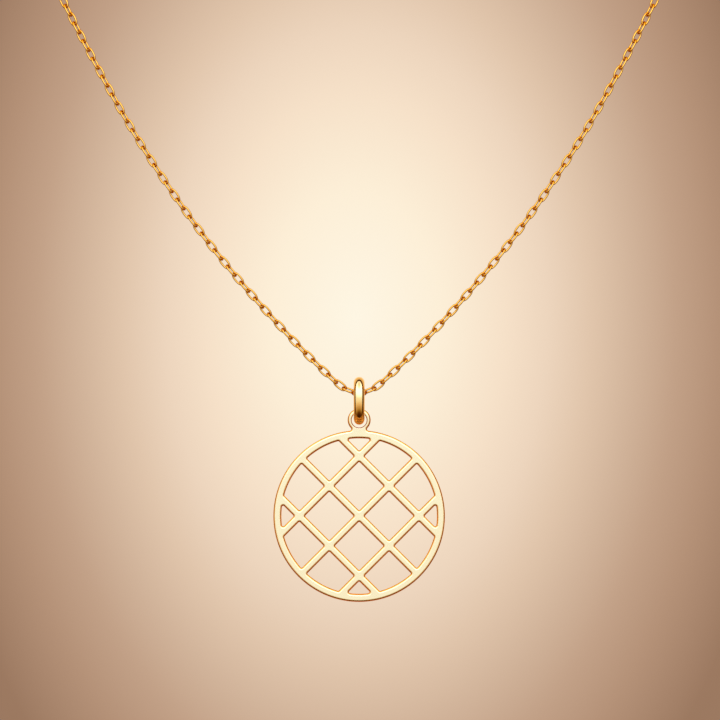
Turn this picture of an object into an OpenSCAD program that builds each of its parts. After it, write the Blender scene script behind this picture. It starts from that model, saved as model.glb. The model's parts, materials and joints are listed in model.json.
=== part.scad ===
// Round openwork pendant hanging from a bail ring on a fine cable chain.
// Millimetres, +Z up, the pendant's face towards -Y.
// The origin is at the nape, where the middle of the closed clasp rests on the neck.

/* [Pendant] */
// Outer diameter of the flat disc
disc_d = 20.3; // [18:0.1:24]
// Thickness of the sheet that disc, bars and eyelet are cut from
sheet_t = 1; // [0.8:0.1:1.2]
// Width of the rim round the openwork
rim_w = 0.95; // [0.8:0.05:1.1]
// Width of each bar in the trellis
bar_w = 0.9; // [0.7:0.05:1]
// Number of bars in each of the two crossing rows
bar_count = 3; // [2:1:3]
// Distance from one bar to the next in its row, centre to centre
bar_pitch = 5; // [4:0.1:5.5]
// Lean of the bars from upright, in degrees
bar_lean = 45; // [38:1:52]

/* [Eyelet] */
// Outer diameter of the eyelet on top of the disc
eyelet_d = 2.72; // [2.6:0.02:3.2]
// Diameter of the eyelet's hole
eyelet_hole_d = 1.78; // [1.78:0.02:2]
// How far the eyelet's circle dips into the disc's
eyelet_dip = 0.15; // [0.05:0.05:0.25]
// Radius of the hollow curves between eyelet and disc
neck_r = 0.2; // [0.2:0.1:1]

/* [Bail] */
// Outer diameter of the bail ring
bail_d = 5.7; // [5.6:0.05:6.2]
// Diameter of the bail's round wire
bail_wire = 1.3; // [1.2:0.05:1.3]
// Room between the bail and the chain, and between the bail and the eyelet
bail_play = 0.08; // [0.06:0.01:0.15]

/* [Chain] */
// Length of one link over its ends
link_len = 1.86; // [1.85:0.01:1.9]
// Width of one link
link_w = 1; // [0.98:0.01:1.04]
// Diameter of the wire that the links are bent from
link_wire = 0.23; // [0.18:0.01:0.24]
// Distance from one link to the next along the chain
link_pitch = 1.25; // [1.24:0.01:1.26]
// Turn of every link about the chain's own line, in degrees
link_roll = 25; // [0:1:45]
// Links on each side of the middle one that are modelled one by one
front_links = 50; // [10:1:60]

/* [Clasp] */
// Outer diameter of the spring ring
clasp_d = 5.4; // [5:0.1:6]
// Diameter of the spring ring's tube
clasp_wire = 1; // [0.9:0.05:1.2]
// Diameter of the wire of the two small eyes
eye_wire = 0.3; // [0.24:0.01:0.3]
// Outer diameter of the two small eyes
eye_d = 1.5; // [1.4:0.05:1.6]

/* [Hidden] */

round_fn = 96;
wire_fn = 32;
tube_sides = 8;
tube_rings = 40;
curve_steps = 12;
tube_gap = 0.15;

gold = "#f6dfa0";
bright_gold = "#e8b860";

// Right half of the chain's centre line, from its middle in the bail, up the
// chest and round the neck to the nape. The left half is its mirror image.
route = [
    [0, 0, 0], [1, 0, 0.1], [2, 0, 0.65], [3, 0, 1.5], [4.2, 0, 2.6], [7.8, 0.1, 6.2],
    [12.2, 0.3, 11], [18, 0.8, 18], [23, 1.5, 25], [27.5, 2.5, 32.1], [31.5, 3.8, 39.3],
    [35, 5.5, 46], [41, 10.5, 59], [46.5, 18.5, 73], [50.5, 29, 87], [52.5, 42.5, 99.5],
    [51.8, 57.5, 110], [47.5, 72, 118], [39.5, 85.5, 124], [28, 95.5, 127.2],
    [14.5, 101.5, 128.5], [0, 103.5, 128.8]
];
nape_middle = route[len(route) - 1];
nape = nape_middle - [0, clasp_wire / 2, 0];

function mirrored(p) = [-p[0], p[1], p[2]];
function unit(v) = v / norm(v);
function running_sum(steps) = [
    for (i = 0, sum = 0; i <= len(steps); i = i + 1, sum = sum + (i <= len(steps) ? steps[i - 1] : 0))
        sum
];

// A smooth curve through the route's points: each tangent weighs its two
// neighbouring stretches by their lengths.
knots = concat([mirrored(route[1])], route, [mirrored(route[len(route) - 2])]);
function tangent(i) =
    let (a = knots[i] - knots[i - 1], b = knots[i + 1] - knots[i], la = norm(a), lb = norm(b))
    (a * lb / la + b * la / lb) / (la + lb);
function between(i, t) =
    let (p = knots[i], q = knots[i + 1], d = norm(q - p))
    (1 + 2 * t) * (1 - t) * (1 - t) * p + t * (1 - t) * (1 - t) * d * tangent(i)
    + t * t * (3 - 2 * t) * q + t * t * (t - 1) * d * tangent(i + 1);
line = concat(
    [route[0]],
    [for (i = [1:len(route) - 1], k = [1:curve_steps]) between(i, k / curve_steps)]
);
reach = running_sum([for (i = [1:len(line) - 1]) norm(line[i] - line[i - 1])]);
half_length = reach[len(reach) - 1];
by_reach = [for (axis = [0:2]) [for (i = [0:len(line) - 1]) [reach[i], line[i][axis]]]];

// The point of the right half at a distance from the chain's middle
function at(s) = s < 0 ? mirrored(at(-s)) : [for (axis = [0:2]) lookup(s, by_reach[axis])];

// Sideways directions carried along the chain with no twist, one for each heading
function carried(n, along) = unit(n - (n * along) * along);
function sides(headings) = [
    for (i = 0, n = [0, -1, 0]; i < len(headings); i = i + 1, n = carried(n, headings[i - 1]))
        carried(n, headings[i])
];

// Each link reaches from one pivot to the next. The pivots lie nearer to the wires of
// the links seen on edge, so that the sharp bend at the bail leaves all wires clear.
slack = link_len - link_wire - link_pitch;
pivot_shift = slack * (1 / (1 + tan(link_roll)) - 0.5);
function is_wide(i) = i % 2 == 0;
function pivot(i) = (i + 0.5) * link_pitch + (is_wide(i) ? -1 : 1) * pivot_shift;
function near_end(i) = i == 0 ? mirrored(at(pivot(0))) : at(pivot(i - 1));
function link_heading(i) = unit(at(pivot(i)) - near_end(i));
link_places = floor((half_length - clasp_d / 2 - eye_d / 2) / link_pitch);
link_sides = sides([for (i = [0:link_places]) link_heading(i)]);

link_bend_r = (link_w - link_wire) / 2;
link_straight = link_len - link_w;

// The bail hangs on the chain, and the eyelet hangs on the bail
bail_r = (bail_d - bail_wire) / 2;
bail_inner_r = bail_r - bail_wire / 2;
bail_z = link_w / 2 + bail_play - bail_inner_r;
bail_seat_z = bail_z - sqrt(pow(bail_inner_r, 2) - pow(sheet_t / 2, 2));
eyelet_z = bail_seat_z + bail_play - eyelet_hole_d / 2;
eyelet_rise = (disc_d + eyelet_d) / 2 - eyelet_dip;
disc_z = eyelet_z - eyelet_rise;

module torus(centre_r, wire_d) {
    rotate_extrude($fn = round_fn) translate([centre_r, 0]) circle(d = wire_d, $fn = wire_fn);
}

// Stands a flat outline up in the pendant's plane
module upright(z) {
    translate([0, 0, z]) rotate([90, 0, 0]) linear_extrude(sheet_t, center = true) children();
}

module trellis() {
    first = -(bar_count - 1) / 2 * bar_pitch;
    intersection() {
        circle(d = disc_d - rim_w, $fn = round_fn);
        for (lean = [-bar_lean, bar_lean], k = [0:bar_count - 1])
            rotate(lean) translate([first + k * bar_pitch, 0]) square([bar_w, disc_d], center = true);
    }
}

// Fills the corners where the eyelet's circle meets the disc's, down to two hollow curves
module neck() {
    below = disc_d / 2 + neck_r;
    above = eyelet_d / 2 + neck_r;
    up = (pow(below, 2) - pow(above, 2) + pow(eyelet_rise, 2)) / (2 * eyelet_rise);
    out = sqrt(pow(below, 2) - pow(up, 2));
    difference() {
        polygon([[0, 0], [out, up], [0, eyelet_rise], [-out, up]]);
        circle(d = disc_d - rim_w, $fn = round_fn);
        for (side = [-1, 1]) translate([side * out, up]) circle(r = neck_r, $fn = round_fn);
        translate([0, eyelet_rise]) circle(d = eyelet_hole_d, $fn = round_fn);
    }
}

module pendant() {
    color(gold) {
        upright(disc_z) {
            difference() {
                circle(d = disc_d, $fn = round_fn);
                circle(d = disc_d - 2 * rim_w, $fn = round_fn);
            }
            trellis();
            neck();
        }
        upright(eyelet_z) difference() {
            circle(d = eyelet_d, $fn = round_fn);
            circle(d = eyelet_hole_d, $fn = round_fn);
        }
    }
}

module bail_ring() {
    color(bright_gold) translate([0, 0, bail_z]) rotate([0, 90, 0]) torus(bail_r, bail_wire);
}

// One link, long along X and flat in the XY plane
module link() {
    for (end = [0, 180]) rotate([0, 0, end]) {
        translate([link_straight / 2, 0, 0]) rotate([0, 0, -90])
            rotate_extrude(angle = 180, $fn = round_fn) translate([link_bend_r, 0])
                circle(d = link_wire, $fn = wire_fn);
        translate([0, link_bend_r, 0]) rotate([0, 90, 0])
            cylinder(h = link_straight, d = link_wire, center = true, $fn = wire_fn);
    }
}

// Puts its children at a link's place on the right strand, every other one turned on edge
module at_link(i) {
    along = link_heading(i);
    side = link_sides[i];
    other = cross(along, side);
    middle = (near_end(i) + at(pivot(i))) / 2;
    multmatrix([
        [along[0], side[0], other[0], middle[0]],
        [along[1], side[1], other[1], middle[1]],
        [along[2], side[2], other[2], middle[2]],
        [0, 0, 0, 1]
    ]) rotate([link_roll + (is_wide(i) ? 90 : 0), 0, 0]) children();
}

module chain_front() {
    color(bright_gold) {
        at_link(0) link();
        for (i = [1:front_links]) {
            at_link(i) link();
            mirror([1, 0, 0]) at_link(i) link();
        }
    }
}

// The rest of the right strand as a plain round stretch as wide as the links
module back_strand() {
    start = front_links * link_pitch + link_len / 2 + tube_gap;
    end = link_places * link_pitch - eye_d / 2 - tube_gap;
    step = (end - start) / (tube_rings - 1);
    centres = [for (k = [0:tube_rings - 1]) at(start + k * step)];
    headings = [
        for (k = [0:tube_rings - 1]) unit(at(start + (k + 0.5) * step) - at(start + (k - 0.5) * step))
    ];
    ring_sides = sides(headings);
    turn = 360 / tube_sides;
    points = [
        for (k = [0:tube_rings - 1], a = [0:tube_sides - 1])
            centres[k] + link_w / 2 * (
                cos(a * turn) * ring_sides[k] + sin(a * turn) * cross(headings[k], ring_sides[k])
            )
    ];
    last = (tube_rings - 1) * tube_sides;
    faces = concat(
        [[for (a = [0:tube_sides - 1]) a]],
        [[for (a = [tube_sides - 1:-1:0]) last + a]],
        [
            for (k = [0:tube_rings - 2], a = [0:tube_sides - 1])
                let (b = (a + 1) % tube_sides, here = k * tube_sides, next = here + tube_sides)
                [here + a, next + a, next + b, here + b]
        ]
    );
    polyhedron(points, faces);
}

module chain_back() {
    color(bright_gold) {
        back_strand();
        mirror([1, 0, 0]) back_strand();
    }
}

// A closed spring ring lying flat on the nape, with a small eye for each end of the chain
module clasp() {
    ring_r = (clasp_d - clasp_wire) / 2;
    eye_r = (eye_d - eye_wire) / 2;
    stem = at(link_places * link_pitch)[0] - eye_r - ring_r;
    color(bright_gold) {
        translate(nape_middle) rotate([90, 0, 0]) torus(ring_r, clasp_wire);
        for (side = [0, 1]) mirror([side, 0, 0]) {
            at_link(link_places) torus(eye_r, eye_wire);
            translate(nape_middle + [ring_r, 0, 0]) rotate([0, 90, 0])
                cylinder(h = stem, d = 2 * eye_wire, $fn = wire_fn);
        }
    }
}

translate(-nape) pendant();
translate(-nape) bail_ring();
translate(-nape) chain_front();
translate(-nape) chain_back();
translate(-nape) clasp();
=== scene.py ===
import json
import math
import bmesh
import bpy
from mathutils import Matrix, Vector


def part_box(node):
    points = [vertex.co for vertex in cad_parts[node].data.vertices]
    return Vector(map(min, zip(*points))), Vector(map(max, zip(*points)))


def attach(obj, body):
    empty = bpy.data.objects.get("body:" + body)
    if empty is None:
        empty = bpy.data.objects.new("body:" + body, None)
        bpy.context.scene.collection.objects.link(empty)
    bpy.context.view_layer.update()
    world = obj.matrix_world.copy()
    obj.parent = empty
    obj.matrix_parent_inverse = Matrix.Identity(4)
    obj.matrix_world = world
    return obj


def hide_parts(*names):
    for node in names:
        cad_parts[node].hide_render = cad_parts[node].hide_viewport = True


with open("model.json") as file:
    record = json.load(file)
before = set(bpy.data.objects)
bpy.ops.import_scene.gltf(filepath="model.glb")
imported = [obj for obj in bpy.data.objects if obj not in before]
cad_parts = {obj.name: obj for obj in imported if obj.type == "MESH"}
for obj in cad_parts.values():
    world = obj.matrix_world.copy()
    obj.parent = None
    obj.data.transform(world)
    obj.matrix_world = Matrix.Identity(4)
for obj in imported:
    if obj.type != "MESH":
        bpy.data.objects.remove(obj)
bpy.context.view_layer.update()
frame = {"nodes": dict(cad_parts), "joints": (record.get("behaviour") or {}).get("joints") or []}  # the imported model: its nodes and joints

# Points are written in millimetres from the chain's middle, which lies in the bail:
# x to the right, y to the back, z up. The pendant's face looks towards -y.
mm = 0.001
hinges = {joint["name"]: Vector(joint["pos_m"]) for joint in frame["joints"]}
chainMiddle = hinges["bail_swing"]
eyeletHeight = (hinges["pendant_swing"].z - chainMiddle.z) / mm
nearZero = 1e-6


# Small helpers

def inMetres(point):
    return chainMiddle + Vector(point) * mm


def compass(angle):
    return Vector((math.cos(angle), math.sin(angle)))


def addMesh(name, points, faces, body, material):
    mesh = bpy.data.meshes.new(name)
    mesh.from_pydata([inMetres(point) for point in points], [], faces)
    mesh.validate()
    mesh.shade_smooth()
    piece = bpy.data.objects.new(name, mesh)
    bpy.context.scene.collection.objects.link(piece)
    mesh.materials.append(material)
    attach(piece, body)
    return piece


# A closed wire: a ring of points round each point of its centre line
def loopTube(centres, outwards, across, radius, sides):
    points = []
    faces = []
    count = len(centres)
    for k in range(count):
        for a in range(sides):
            turn = compass(2 * math.pi * a / sides)
            points.append(centres[k] + radius * (turn.x * outwards[k] + turn.y * across))
            nextRing = (k + 1) % count * sides
            nextSide = (a + 1) % sides
            faces.append((k * sides + a, nextRing + a, nextRing + nextSide, k * sides + nextSide))
    return points, faces


# Materials

# pale and deep are the two tones that drift over the metal. side is painted shade, a darker
# colour on what looks sideways, from none to all of it as the normal's share of y goes through
# sideTurn, and behindShare is how much of it the back half takes. rim tints what the eye only grazes.
goldFinishesAndShades = {
    "satinGold": {"pale": (0.99, 0.96, 0.72), "deep": (0.99, 0.94, 0.66), "roughness": (0.3, 0.4),
                  # side below is painted shade for the sheet's rounded edges and cut walls
                  "side": (0.9, 0.4, 0.05), "sideRoughness": 0.2, "sideTurn": (0.995, 0.85),
                  "behindShare": 1, "grain": 0.02, "rim": (1, 0.8, 0.55)},
    "polishedGold": {"pale": (0.97, 0.71, 0.32), "deep": (0.95, 0.66, 0.28), "roughness": (0.08, 0.13),
                     "side": None, "grain": 0.01, "rim": (1, 0.9, 0.75)},
    "chainGold": {"pale": (1, 0.73, 0.2), "deep": (1, 0.65, 0.12), "roughness": (0.08, 0.13),
                  # side below is painted shade for the flanks of the chain's wires
                  "side": (0.66, 0.25, 0.004), "sideRoughness": 0.12, "sideTurn": (0.99, 0.9),
                  "behindShare": 0.3, "grain": 0.02, "rim": (0.5, 0.28, 0.06)},
}

# What all the golds share
goldMarks = {
    "cloudScale": 300,
    "cloudDetail": 3,
    "grainScale": 9000,
    "grainDetail": 2,
    "grainHeight": 0.05,
    "behindTurn": (-0.4, 0),  # between these two y of the normal the back half's share sets in
}


def goldMaterial(name):
    finishAndShade = goldFinishesAndShades[name]
    material = bpy.data.materials.new(name)
    material.use_nodes = True
    nodes = material.node_tree.nodes
    links = material.node_tree.links
    shader = nodes["Principled BSDF"]
    shader.inputs["Metallic"].default_value = 1
    shader.inputs["Specular Tint"].default_value = (*finishAndShade["rim"], 1)
    place = nodes.new("ShaderNodeTexCoord")

    cloud = nodes.new("ShaderNodeTexNoise")  # slow drift of tone over the metal
    cloud.inputs["Scale"].default_value = goldMarks["cloudScale"]
    cloud.inputs["Detail"].default_value = goldMarks["cloudDetail"]
    links.new(place.outputs["Object"], cloud.inputs["Vector"])

    tone = nodes.new("ShaderNodeMix")
    tone.data_type = "RGBA"
    tone.inputs["A"].default_value = (*finishAndShade["pale"], 1)
    tone.inputs["B"].default_value = (*finishAndShade["deep"], 1)
    links.new(cloud.outputs["Fac"], tone.inputs["Factor"])
    colour = tone.outputs["Result"]

    gloss = nodes.new("ShaderNodeMapRange")  # polish that isn't the same everywhere
    gloss.inputs["To Min"].default_value = finishAndShade["roughness"][0]
    gloss.inputs["To Max"].default_value = finishAndShade["roughness"][1]
    links.new(cloud.outputs["Fac"], gloss.inputs["Value"])
    roughness = gloss.outputs["Result"]

    if finishAndShade["side"]:  # painted shade: what looks sideways takes the darker side colour, so front and back stay paler
        split = nodes.new("ShaderNodeSeparateXYZ")
        links.new(place.outputs["Normal"], split.inputs["Vector"])
        squareOn = nodes.new("ShaderNodeMath")
        squareOn.operation = "ABSOLUTE"
        links.new(split.outputs["Y"], squareOn.inputs[0])
        isSide = nodes.new("ShaderNodeMapRange")
        isSide.inputs["From Min"].default_value = finishAndShade["sideTurn"][0]
        isSide.inputs["From Max"].default_value = finishAndShade["sideTurn"][1]
        links.new(squareOn.outputs["Value"], isSide.inputs["Value"])
        behind = nodes.new("ShaderNodeMapRange")  # how much of the painted side shade the back half takes
        behind.inputs["From Min"].default_value = goldMarks["behindTurn"][0]
        behind.inputs["From Max"].default_value = goldMarks["behindTurn"][1]
        behind.inputs["To Min"].default_value = 1
        behind.inputs["To Max"].default_value = finishAndShade["behindShare"]
        links.new(split.outputs["Y"], behind.inputs["Value"])
        links.new(behind.outputs["Result"], isSide.inputs["To Max"])
        # painted shade: the side colour darkens the metal where it looks sideways
        paintedSideShade = nodes.new("ShaderNodeMix")
        paintedSideShade.data_type = "RGBA"
        paintedSideShade.inputs["B"].default_value = (*finishAndShade["side"], 1)
        links.new(isSide.outputs["Result"], paintedSideShade.inputs["Factor"])
        links.new(colour, paintedSideShade.inputs["A"])
        colour = paintedSideShade.outputs["Result"]
        sideGloss = nodes.new("ShaderNodeMix")
        sideGloss.inputs["B"].default_value = finishAndShade["sideRoughness"]
        links.new(isSide.outputs["Result"], sideGloss.inputs["Factor"])
        links.new(roughness, sideGloss.inputs["A"])
        roughness = sideGloss.outputs["Result"]

    grain = nodes.new("ShaderNodeTexNoise")  # the finest marks of the polishing
    grain.inputs["Scale"].default_value = goldMarks["grainScale"]
    grain.inputs["Detail"].default_value = goldMarks["grainDetail"]
    links.new(place.outputs["Object"], grain.inputs["Vector"])
    bump = nodes.new("ShaderNodeBump")
    bump.inputs["Strength"].default_value = finishAndShade["grain"]
    bump.inputs["Distance"].default_value = goldMarks["grainHeight"] * mm
    links.new(grain.outputs["Fac"], bump.inputs["Height"])

    links.new(colour, shader.inputs["Base Color"])
    links.new(roughness, shader.inputs["Roughness"])
    links.new(bump.outputs["Normal"], shader.inputs["Normal"])
    return material


satinGold = goldMaterial("satinGold")
polishedGold = goldMaterial("polishedGold")
chainGold = goldMaterial("chainGold")
print("materials made")


# Camera

cameraSettings = {
    "distance": 420,
    "aimRight": 0.1,  # from the chain's middle
    "aimUp": 3.86,
    "viewWidth": 85.2,  # what the picture shows at the pendant's distance
    "sensorWidth": 36,
    "nearest": 10,  # nothing nearer is drawn, and nothing past farthest
    "farthest": 30000,
}


def addCamera():
    lens = bpy.data.cameras.new("camera")
    lens.sensor_width = cameraSettings["sensorWidth"]
    lens.lens = lens.sensor_width * cameraSettings["distance"] / cameraSettings["viewWidth"]
    lens.clip_start = cameraSettings["nearest"] * mm
    lens.clip_end = cameraSettings["farthest"] * mm
    camera = bpy.data.objects.new("camera", lens)
    place = (cameraSettings["aimRight"], -cameraSettings["distance"], cameraSettings["aimUp"])
    camera.location = inMetres(place)
    camera.rotation_euler = (math.pi / 2, 0, 0)
    bpy.context.scene.collection.objects.link(camera)
    bpy.context.scene.camera = camera


addCamera()
print("camera placed")


# Chain

chainSizes = {
    "linkLength": 1.86,
    "linkWidth": 1,
    "wire": 0.23,
    "pitch": 1.25,
    "roll": 25,
    "frontLinks": 50,
    "lastLink": 176,
    "endStretch": 0.2,  # spread over the back links, it brings the last one into the clasp's eye
    "fullness": 2.5,  # 2 is an oval link, more is squarer
    "curveSteps": 12,
    "frontRings": 30,
    "frontSides": 12,
    "backRings": 20,
    "backSides": 8,
}

# Right half of the chain's line: from the bail up the chest and round the neck to the nape
route = [
    (0, 0, 0), (1, 0, 0.1), (2, 0, 0.65), (3, 0, 1.5), (4.2, 0, 2.6), (7.8, 0.1, 6.2),
    (12.2, 0.3, 11), (18, 0.8, 18), (23, 1.5, 25), (27.5, 2.5, 32.1), (31.5, 3.8, 39.3),
    (35, 5.5, 46), (41, 10.5, 59), (46.5, 18.5, 73), (50.5, 29, 87), (52.5, 42.5, 99.5),
    (51.8, 57.5, 110), (47.5, 72, 118), (39.5, 85.5, 124), (28, 95.5, 127.2),
    (14.5, 101.5, 128.5), (0, 103.5, 128.8),
]
toLeft = Matrix.Diagonal((-1, 1, 1))


# A smooth line through the route, each tangent weighing its two neighbouring stretches
def smoothLine():
    knots = [Vector(point) for point in route]
    knots = [toLeft @ knots[1]] + knots + [toLeft @ knots[-2]]
    tangents = []
    for before, here, after in zip(knots, knots[1:], knots[2:]):
        back, ahead = here - before, after - here
        total = back.length + ahead.length
        tangents.append((back * ahead.length / back.length + ahead * back.length / ahead.length) / total)
    steps = chainSizes["curveSteps"]
    line = [knots[1]]
    for k in range(len(tangents) - 1):
        start, end = knots[k + 1], knots[k + 2]
        span = (end - start).length
        for step in range(1, steps + 1):
            t = step / steps
            u = 1 - t
            line.append(
                (1 + 2 * t) * u * u * start + t * u * u * span * tangents[k]
                + t * t * (3 - 2 * t) * end - t * t * u * span * tangents[k + 1]
            )
    return line


chainLine = smoothLine()
chainReach = [0]
for here, after in zip(chainLine, chainLine[1:]):
    chainReach.append(chainReach[-1] + (after - here).length)


def alongChain(distance):
    k = 1
    while chainReach[k] < distance:
        k += 1
    share = (distance - chainReach[k - 1]) / (chainReach[k] - chainReach[k - 1])
    return chainLine[k - 1].lerp(chainLine[k], share)


# Where each link of the right strand lies, from one pivot to the next, turned on edge in turn.
# The pivots lie nearer to the wires of the links seen on edge, which keeps all wires clear.
def linkPlaces():
    pitch = chainSizes["pitch"]
    roll = math.radians(chainSizes["roll"])
    slack = chainSizes["linkLength"] - chainSizes["wire"] - pitch
    pivotShift = slack * (1 / (1 + math.tan(roll)) - 0.5)
    front, last = chainSizes["frontLinks"], chainSizes["lastLink"]
    places = []
    side = Vector((0, -1, 0))
    near = None
    for i in range(last + 1):
        isWide = i % 2 == 0
        stretch = chainSizes["endStretch"] * max(0, i - front) / (last - front)
        far = alongChain((i + 0.5) * pitch + stretch + (-pivotShift if isWide else pivotShift))
        near = near or toLeft @ far
        along = (far - near).normalized()
        side = (side - side.dot(along) * along).normalized()
        basis = Matrix((along, side, along.cross(side))).transposed()
        turned = basis @ Matrix.Rotation(roll + (math.pi / 2 if isWide else 0), 3, "X")
        places.append(((near + far) / 2, turned))
        near = far
    return places


# One link, long along x and flat in the xy plane: a loop of wire with gently bulging sides
def linkShape(rings, sides):
    halfLength = (chainSizes["linkLength"] - chainSizes["wire"]) / 2
    halfWidth = (chainSizes["linkWidth"] - chainSizes["wire"]) / 2
    power = 2 / chainSizes["fullness"]
    centres = []
    outwards = []
    for k in range(rings):
        way = compass(2 * math.pi * (k + 0.5) / rings)
        across = Vector((abs(way.x) ** power, abs(way.y) ** power, 0))
        across = Vector((math.copysign(across.x, way.x), math.copysign(across.y, way.y), 0))
        centres.append(Vector((halfLength * across.x, halfWidth * across.y, 0)))
    for k in range(rings):
        tangent = (centres[(k + 1) % rings] - centres[k - 1]).normalized()
        outwards.append(Vector((tangent.y, -tangent.x, 0)))
    return loopTube(centres, outwards, Vector((0, 0, 1)), chainSizes["wire"] / 2, sides)


def addLinks(name, numbers, rings, sides, node):
    shapePoints, shapeFaces = linkShape(rings, sides)
    points = []
    faces = []
    for i in numbers:
        middle, basis = placesOfLinks[i]
        for mirroring in (False, True):
            if mirroring and i == 0:
                continue
            first = len(points)
            for point in shapePoints:
                placed = middle + basis @ point
                points.append(toLeft @ placed if mirroring else placed)
            for face in shapeFaces:
                order = reversed(face) if mirroring else face
                faces.append([first + corner for corner in order])
    links = addMesh(name, points, faces, "chain", chainGold)
    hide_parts(node)


placesOfLinks = linkPlaces()
firstBack = chainSizes["frontLinks"] + 1
frontNumbers = range(firstBack)
backNumbers = range(firstBack, chainSizes["lastLink"] + 1)
addLinks("frontLinks", frontNumbers, chainSizes["frontRings"], chainSizes["frontSides"], "chain_front")
addLinks("backLinks", backNumbers, chainSizes["backRings"], chainSizes["backSides"], "chain_back")
print("chain linked")


# Bail

bailSizes = {"wire": 1.3, "rings": 128, "sides": 40}


def addBail():
    low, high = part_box("bail_ring")
    outer = (high.y - low.y) / mm / 2
    height = ((high.z + low.z) / 2 - chainMiddle.z) / mm
    wireRadius = bailSizes["wire"] / 2
    centres = []
    outwards = []
    for k in range(bailSizes["rings"]):
        way = compass(2 * math.pi * k / bailSizes["rings"])
        outward = Vector((0, way.x, way.y))
        outwards.append(outward)
        centres.append(Vector((0, 0, height)) + (outer - wireRadius) * outward)
    points, faces = loopTube(centres, outwards, Vector((1, 0, 0)), wireRadius, bailSizes["sides"])
    bail = addMesh("bailRing", points, faces, "bail", polishedGold)
    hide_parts("bail_ring")


addBail()
print("bail bent")


# Pendant

pendantSizes = {
    "rimWidth": 0.95,
    "barWidth": 0.9,
    "barCount": 3,
    "barPitch": 5,
    "barLean": 45,
    "eyeletWidth": 2.72,
    "holeWidth": 1.78,
    "eyeletDip": 0.15,
    "neckRadius": 0.2,
    "cornerRadius": 0.15,
    "edgeRound": 0.28,  # how far the sheet's edges are rounded over
    "holeRound": 0.15,
    "edgeSteps": 6,
    "arcStep": math.radians(1),
    "fullArcRadius": 3,  # smaller arcs take longer steps
    "fewestArcSteps": 8,
    "cornerStep": 10,  # degrees between the points of a rounded corner
    "besideWall": 0.01,  # degrees from a wall's own way to the two points that bound it
    "clearOfWall": 0.5,  # degrees from there to the next point
}


# The walls of one gap between bars, each as an outward way and how far out it lies
def gapWalls(column, row):
    sizes = pendantSizes
    walls = []
    for lean, cell in ((-sizes["barLean"], column), (sizes["barLean"], row)):
        way = compass(math.radians(lean))
        margin = sizes["barWidth"] / 2 + sizes["cornerRadius"]
        first = -(sizes["barCount"] - 1) / 2 * sizes["barPitch"]
        if cell > 0:
            walls.append((-way, -(first + (cell - 1) * sizes["barPitch"]) - margin))
        if cell < sizes["barCount"]:
            walls.append((way, first + cell * sizes["barPitch"] - margin))
    return walls


def isInside(point, walls, radius):
    isNear = point.length <= radius + nearZero
    return isNear and all(point.dot(way) <= out + nearZero for way, out in walls)


def wallCorners(walls, radius):
    corners = []
    for k, (way, out) in enumerate(walls):
        reach = radius * radius - out * out
        if reach > 0:
            for sign in (-1, 1):
                corners.append(way * out + Vector((-way.y, way.x)) * sign * math.sqrt(reach))
        for otherWay, otherOut in walls[k + 1:]:
            spread = way.cross(otherWay)
            if abs(spread) > nearZero:
                corners.append(Vector((
                    out * otherWay.y - otherOut * way.y, otherOut * way.x - out * otherWay.x
                )) / spread)
    return [corner for corner in corners if isInside(corner, walls, radius)]


# A gap's outline, as points with the way that the metal's edge looks there
def gapOutline(column, row, innerRadius):
    cornerRadius = pendantSizes["cornerRadius"]
    radius = innerRadius - cornerRadius
    walls = gapWalls(column, row)
    corners = wallCorners(walls, radius)
    wallAngles = [math.degrees(math.atan2(way.y, way.x)) % 360 for way, _ in walls]
    beside = pendantSizes["besideWall"]
    angles = [angle + side for angle in wallAngles for side in (-beside, beside)]
    clear = pendantSizes["clearOfWall"]
    angles += [a for a in range(360) if all(abs(a - angle) > clear for angle in wallAngles)]
    outline = []
    for angle in sorted(angles):
        way = compass(math.radians(angle))
        onArc = isInside(way * radius, walls, radius)
        if not onArc and angle == int(angle) and angle % pendantSizes["cornerStep"]:
            continue
        farthest = way * radius if onArc else max(corners, key=way.dot)
        outline.append((farthest + cornerRadius * way, -way))
    return outline


def arcOf(centre, radius, start, end, hollow=False):
    fineness = min(1, radius / pendantSizes["fullArcRadius"])
    wanted = round(abs(end - start) / pendantSizes["arcStep"] * fineness)
    steps = max(pendantSizes["fewestArcSteps"], wanted)
    arc = []
    for k in range(steps):
        way = compass(start + (end - start) * k / steps)
        arc.append((Vector(centre) + radius * way, -way if hollow else way))
    return arc


# The outline of disc, neck and eyelet, and the eyelet's hole
def outerOutlines(discRadius):
    eyeletRadius = pendantSizes["eyeletWidth"] / 2
    neckRadius = pendantSizes["neckRadius"]
    below = discRadius + neckRadius
    above = eyeletRadius + neckRadius
    apart = discRadius + eyeletRadius - pendantSizes["eyeletDip"]
    up = (below ** 2 - above ** 2 + apart ** 2) / (2 * apart)
    out = math.sqrt(below ** 2 - up ** 2)
    fromDisc = math.atan2(up, out)
    fromEyelet = math.atan2(up - apart, out)
    outer = arcOf((0, 0), discRadius, math.pi - fromDisc, 2 * math.pi + fromDisc)
    outer += arcOf((out, up), neckRadius, fromDisc + math.pi, fromEyelet + math.pi, hollow=True)
    outer += arcOf((0, apart), eyeletRadius, fromEyelet, math.pi - fromEyelet)
    outer += arcOf((-out, up), neckRadius, -fromEyelet, -fromDisc, hollow=True)
    hole = arcOf((0, apart), pendantSizes["holeWidth"] / 2, 0, 2 * math.pi, hollow=True)
    return [(outer, pendantSizes["edgeRound"]), (hole, pendantSizes["holeRound"])], apart


# The rounded edge from the flat face to the cut wall: slope, inset and drop of each step
def edgeProfile(turn):
    profile = []
    for k in range(pendantSizes["edgeSteps"] + 1):
        slope = math.pi / 2 * (1 - k / pendantSizes["edgeSteps"])
        profile.append((slope, turn * (1 - math.cos(slope)), turn * (1 - math.sin(slope))))
    return profile


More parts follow.
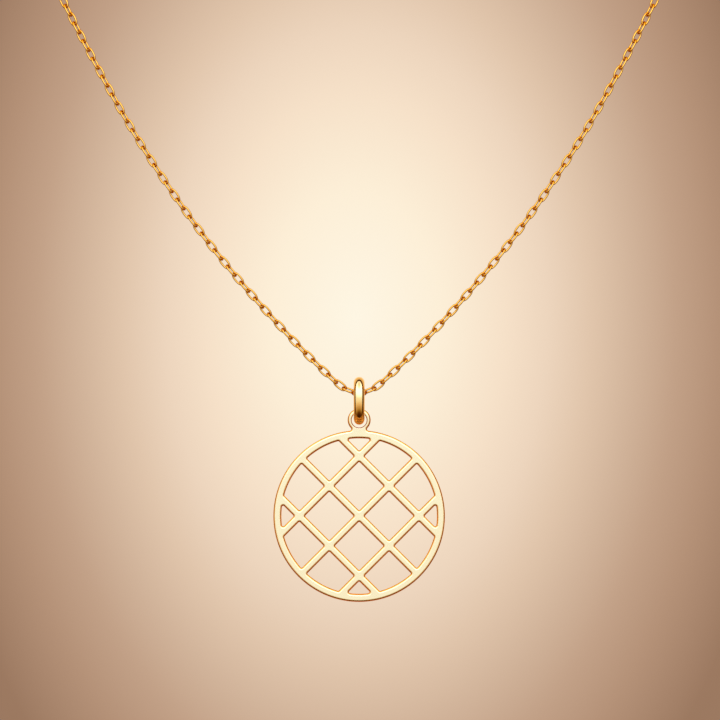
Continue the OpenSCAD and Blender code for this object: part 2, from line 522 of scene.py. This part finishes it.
def addPendant():
    low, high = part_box("pendant")
    discRadius = (high.x - low.x) / mm / 2
    halfSheet = (high.y - low.y) / mm / 2
    outlines, apart = outerOutlines(discRadius)
    cells = range(pendantSizes["barCount"] + 1)
    for column in cells:
        for row in cells:
            gap = gapOutline(column, row, discRadius - pendantSizes["rimWidth"])
            outlines.append((gap, pendantSizes["edgeRound"]))

    middle = Vector((0, 0, eyeletHeight - apart))
    edges = bmesh.new()
    normals = []
    rims = ([], [])
    for outline, turn in outlines:
        profile = edgeProfile(turn)
        levels = [(-1, *step) for step in profile] + [(1, *step) for step in reversed(profile)]
        rings = []
        for side, slope, inset, drop in levels:
            depth = side * (halfSheet - drop)
            ring = []
            for point, way in outline:
                moved = point - inset * way
                ring.append(edges.verts.new(inMetres(middle + Vector((moved.x, depth, moved.y)))))
                flat = math.cos(slope) * way
                normals.append((flat.x, side * math.sin(slope), flat.y))
            rings.append(ring)
        count = len(outline)
        for ring, nextRing in zip(rings, rings[1:]):
            for k in range(count):
                n = (k + 1) % count
                edges.faces.new((ring[k], ring[n], nextRing[n], nextRing[k]))
        for rim, ring in zip(rims, (rings[0], rings[-1])):
            rim += [edges.edges.get((ring[k - 1], ring[k])) for k in range(count)]
    for rim, side in zip(rims, (-1, 1)):
        bmesh.ops.triangle_fill(edges, use_beauty=True, edges=rim, normal=(0, side, 0))
    bmesh.ops.recalc_face_normals(edges, faces=edges.faces)
    mesh = bpy.data.meshes.new("openworkDisc")
    edges.to_mesh(mesh)
    edges.free()
    mesh.shade_smooth()
    mesh.normals_split_custom_set_from_vertices(normals)
    mesh.materials.append(satinGold)
    disc = bpy.data.objects.new("openworkDisc", mesh)
    bpy.context.scene.collection.objects.link(disc)
    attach(disc, "pendant")
    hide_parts("pendant")


addPendant()
print("pendant cut")


# Clasp: its solid has the right shape and takes the finish

def finishClasp():
    clasp = frame["nodes"]["clasp"]
    for slot in clasp.material_slots:
        slot.material = polishedGold


finishClasp()
print("clasp finished")


# Floor and light

roomSettings = {
    "floorDrop": 0.6,  # metres below the nape
    "floorRadius": 4,  # metres
    "floorCorners": 96,
    "floorColour": (0.42, 0.36, 0.29, 1),
    "floorRoughness": 0.9,
}


def addFloor():
    count = roomSettings["floorCorners"]
    rim = [compass(2 * math.pi * k / count) * roomSettings["floorRadius"] for k in range(count)]
    corners = [(*point, -roomSettings["floorDrop"]) for point in rim]
    mesh = bpy.data.meshes.new("floor")
    mesh.from_pydata(corners, [], [range(count)])
    floor = bpy.data.objects.new("floor", mesh)
    bpy.context.scene.collection.objects.link(floor)
    material = bpy.data.materials.new("floorPaint")
    material.use_nodes = True
    shader = material.node_tree.nodes["Principled BSDF"]
    shader.inputs["Base Color"].default_value = roomSettings["floorColour"]
    shader.inputs["Roughness"].default_value = roomSettings["floorRoughness"]
    mesh.materials.append(material)
    floor.visible_glossy = False


# The metal sees a soft studio: a broad light before and above the pendant that fades to
# brown below, a dark gap round it, and a warm wall behind. The lens sees only a backdrop with
# a painted pool of light, brightest between the two strands and darker towards the edges.
studioLight = {
    # the light ends where x, y and the curve of the height, weighed like this, pass lightEdge
    "lightLean": (0.1, 1, -0.6),
    "lightLift": 0.2,
    "lightEdge": (-0.26, -0.34),
    "wallWay": (0, 0.951, -0.309),  # the middle of the warm wall behind
    "wallEdge": (0.28, 0.36),
    "backEdge": (0.75, 0.95),  # how near to straight behind the wall is lit
    # colours by height, from straight down at 0 to straight up at 1
    "light": [(0.03, (0.045, 0.014, 0.002)), (0.086, (0.13, 0.042, 0.007)), (0.145, (0.33, 0.18, 0.034)),
              (0.21, (0.54, 0.335, 0.12)), (0.29, (0.69, 0.47, 0.25)), (0.37, (0.86, 0.66, 0.41)),
              (0.5, (1, 0.96, 0.86)), (0.6, (1.08, 1.1, 1.1)), (0.68, (1.4, 1.5, 1.8)),
              (0.76, (2.1, 2.25, 2.8)), (0.92, (2.4, 2.5, 3.1)), (0.97, (1.4, 1.4, 1.5)),
              (1, (0.97, 0.94, 0.85))],
    "gap": [(0, (0.03, 0.01, 0.002)), (0.3, (0.09, 0.04, 0.01)), (1, (0.1, 0.05, 0.015))],
    "wall": [(0, (0.8, 0.4, 0.12)), (0.2, (0.3, 0.11, 0.022)), (0.34, (0.3, 0.11, 0.022)),
             (0.44, (0.8, 0.47, 0.19)), (1, (0.96, 0.7, 0.4))],
    "back": [(0.2, (0.3, 0.11, 0.022)), (0.35, (0.6, 0.4, 0.2)), (0.45, (1, 0.9, 0.72)),
             (1, (1.2, 1.15, 1))],
    "glowWay": (-0.001, 1, 0.008),
    "glowShape": (1, 1, 0.67),  # taller than wide
    "glowReach": 0.6,
    # painted pool of light: colours by how far the lens looks past the glow, darker further out
    "paintedGlowBackdrop": [(0, (0.99, 0.92, 0.77)), (0.04, (0.98, 0.86, 0.68)), (0.07, (0.92, 0.75, 0.58)),
                 (0.09, (0.845, 0.665, 0.51)), (0.11, (0.75, 0.56, 0.41)), (0.13, (0.64, 0.455, 0.325)),
                 (0.15, (0.54, 0.355, 0.243)), (0.17, (0.46, 0.285, 0.187)), (0.2, (0.33, 0.19, 0.117)),
                 (1, (0.6, 0.45, 0.33))],
}


def ramp(tree, stops):
    node = tree.nodes.new("ShaderNodeValToRGB")
    elements = node.color_ramp.elements
    while len(elements) < len(stops):
        elements.new(0.5)
    for element, (position, colour) in zip(elements, stops):
        element.position = position
        element.color = (*colour, 1)
    return node


def addWorld():
    world = bpy.data.worlds.new("studio")
    bpy.context.scene.world = world
    world.use_nodes = True
    tree = world.node_tree
    nodes, links = tree.nodes, tree.links
    place = nodes.new("ShaderNodeTexCoord")
    split = nodes.new("ShaderNodeSeparateXYZ")
    links.new(place.outputs["Generated"], split.inputs["Vector"])

    def mapped(output, start, end, smooth=False):
        node = nodes.new("ShaderNodeMapRange")
        node.interpolation_type = "SMOOTHSTEP" if smooth else "LINEAR"
        node.inputs["From Min"].default_value = start
        node.inputs["From Max"].default_value = end
        links.new(output, node.inputs["Value"])
        return node.outputs["Result"]

    def blended(share, first, second):
        node = nodes.new("ShaderNodeMix")
        node.data_type = "RGBA"
        for name, output in (("Factor", share), ("A", first), ("B", second)):
            links.new(output, node.inputs[name])
        return node.outputs["Result"]

    def stopsAlong(stops, output):
        node = ramp(tree, stops)
        links.new(output, node.inputs["Fac"])
        return node.outputs["Color"]

    def weighed(output, weights, edge):
        node = nodes.new("ShaderNodeVectorMath")
        node.operation = "DOT_PRODUCT"
        node.inputs[1].default_value = weights
        links.new(output, node.inputs[0])
        return mapped(node.outputs["Value"], *edge, smooth=True)

    height = mapped(split.outputs["Z"], -1, 1)
    fields = ("light", "gap", "wall", "back")
    light, gap, wall, back = [stopsAlong(studioLight[name], height) for name in fields]
    lifted = nodes.new("ShaderNodeMath")
    lifted.operation = "ADD"
    lifted.inputs[1].default_value = studioLight["lightLift"]
    links.new(split.outputs["Z"], lifted.inputs[0])
    curved = nodes.new("ShaderNodeMath")
    curved.operation = "MULTIPLY"
    links.new(split.outputs["Z"], curved.inputs[0])
    links.new(lifted.outputs["Value"], curved.inputs[1])
    bent = nodes.new("ShaderNodeCombineXYZ")
    for k, output in enumerate((split.outputs["X"], split.outputs["Y"], curved.outputs["Value"])):
        links.new(output, bent.inputs[k])
    inLight = weighed(bent.outputs["Vector"], studioLight["lightLean"], studioLight["lightEdge"])
    onWall = weighed(place.outputs["Generated"], studioLight["wallWay"], studioLight["wallEdge"])
    behind = blended(mapped(split.outputs["Y"], *studioLight["backEdge"], smooth=True), wall, back)
    studio = blended(onWall, blended(inLight, gap, light), behind)

    # painted pool of light on the backdrop, seen by the lens alone
    shaped = nodes.new("ShaderNodeVectorMath")
    shaped.operation = "MULTIPLY"
    shaped.inputs[1].default_value = studioLight["glowShape"]
    links.new(place.outputs["Generated"], shaped.inputs[0])
    past = nodes.new("ShaderNodeVectorMath")
    past.operation = "DISTANCE"
    past.inputs[1].default_value = studioLight["glowWay"]
    links.new(shaped.outputs["Vector"], past.inputs[0])
    share = mapped(past.outputs["Value"], 0, studioLight["glowReach"])
    paintedGlowBackdrop = stopsAlong(studioLight["paintedGlowBackdrop"], share)

    ray = nodes.new("ShaderNodeLightPath")
    seen = blended(ray.outputs["Is Camera Ray"], studio, paintedGlowBackdrop)
    links.new(seen, nodes["Background"].inputs["Color"])


addFloor()
addWorld()
bpy.context.scene.view_settings.view_transform = "Standard"
print("floor and light set")
